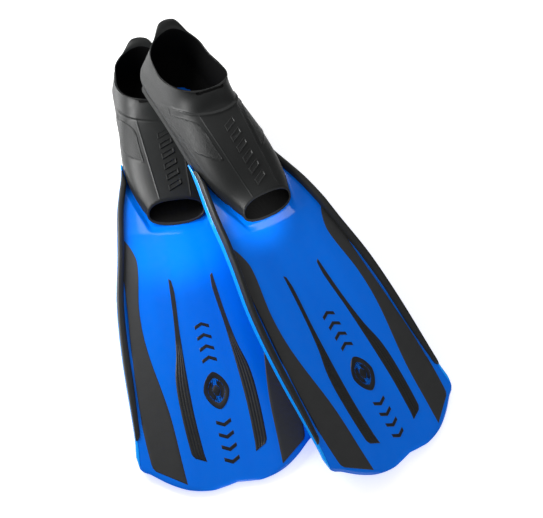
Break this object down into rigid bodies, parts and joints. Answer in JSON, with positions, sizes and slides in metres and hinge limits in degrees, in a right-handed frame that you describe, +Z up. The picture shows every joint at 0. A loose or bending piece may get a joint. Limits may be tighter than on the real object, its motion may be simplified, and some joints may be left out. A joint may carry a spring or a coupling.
{
  "type": "pair of swim fins",
  "caption": "Pair of full-foot swim fins, one lying across the other: rubber foot pockets with open toes and heel tabs on stiff, rubber-edged channelled blades.",
  "frame": {"origin": "on the floor, under the middle of the pair's bounding box", "axes": "+Z up from the floor, +Y from the blade tips towards the heels along the left fin's centre line, +X to the wearer's right"},
  "size_m": [0.403, 0.6426, 0.1856],
  "materials": {
    "blue_plastic": "gloss moulded",
    "black_rubber": "satin moulded, grained in places",
    "mark_ink": "satin inlay"
  },
  "bodies": {
    "left_foot": {"left_toe_cradle": "blue_plastic", "left_foot_bed": "blue_plastic", "left_foot_pocket": "black_rubber", "left_sole": "black_rubber", "left_rail_root_r": "black_rubber", "left_rail_root_l": "black_rubber"},
    "left_blade": {"left_blade": "blue_plastic", "left_rail_r": "black_rubber", "left_rail_l": "black_rubber", "left_flank_panel_r": "black_rubber", "left_flank_panel_l": "black_rubber", "left_strip_r": "black_rubber", "left_strip_l": "black_rubber", "left_mark": "mark_ink"},
    "left_heel": {"left_heel_cup": "black_rubber"},
    "right_foot": {"right_toe_cradle": "blue_plastic", "right_foot_bed": "blue_plastic", "right_foot_pocket": "black_rubber", "right_sole": "black_rubber", "right_rail_root_r": "black_rubber", "right_rail_root_l": "black_rubber"},
    "right_blade": {"right_blade": "blue_plastic", "right_rail_r": "black_rubber", "right_rail_l": "black_rubber", "right_flank_panel_r": "black_rubber", "right_flank_panel_l": "black_rubber", "right_strip_r": "black_rubber", "right_strip_l": "black_rubber", "right_mark": "mark_ink"},
    "right_heel": {"right_heel_cup": "black_rubber"}
  },
  "joints": [
    {"name": "left_blade_flex", "type": "hinge", "parent": "left_foot", "child": "left_blade", "pos_m": [-0.09522, 0.02056, 0.03554], "axis": [-1, 0, 0], "range_deg": [0, 20], "stiffness_Nm_per_rad": 20},
    {"name": "left_heel_fold", "type": "hinge", "parent": "left_foot", "child": "left_heel", "pos_m": [-0.09522, 0.29881, 0.00513], "axis": [-1, 0, 0], "range_deg": [0, 25], "stiffness_Nm_per_rad": 1},
    {"name": "right_fin_lift", "type": "slide", "parent": "left_foot", "child": "right_foot", "axis": [0, 0, 1], "range_m": [0, 0.13]},
    {"name": "right_blade_flex", "type": "hinge", "parent": "right_foot", "child": "right_blade", "pos_m": [0.0153, -0.01691, 0.08467], "axis": [-0.9335, -0.3485, 0.0846], "range_deg": [0, 20], "stiffness_Nm_per_rad": 20},
    {"name": "right_heel_fold", "type": "hinge", "parent": "right_foot", "child": "right_heel", "pos_m": [-0.08177, 0.24545, 0.0944], "axis": [-0.9335, -0.3485, 0.0846], "range_deg": [0, 25], "stiffness_Nm_per_rad": 1}
  ],
  "couplings": [
    {"joint": "right_fin_lift", "follows": "left_blade_flex", "m_per_rad": 0.34}
  ]
}
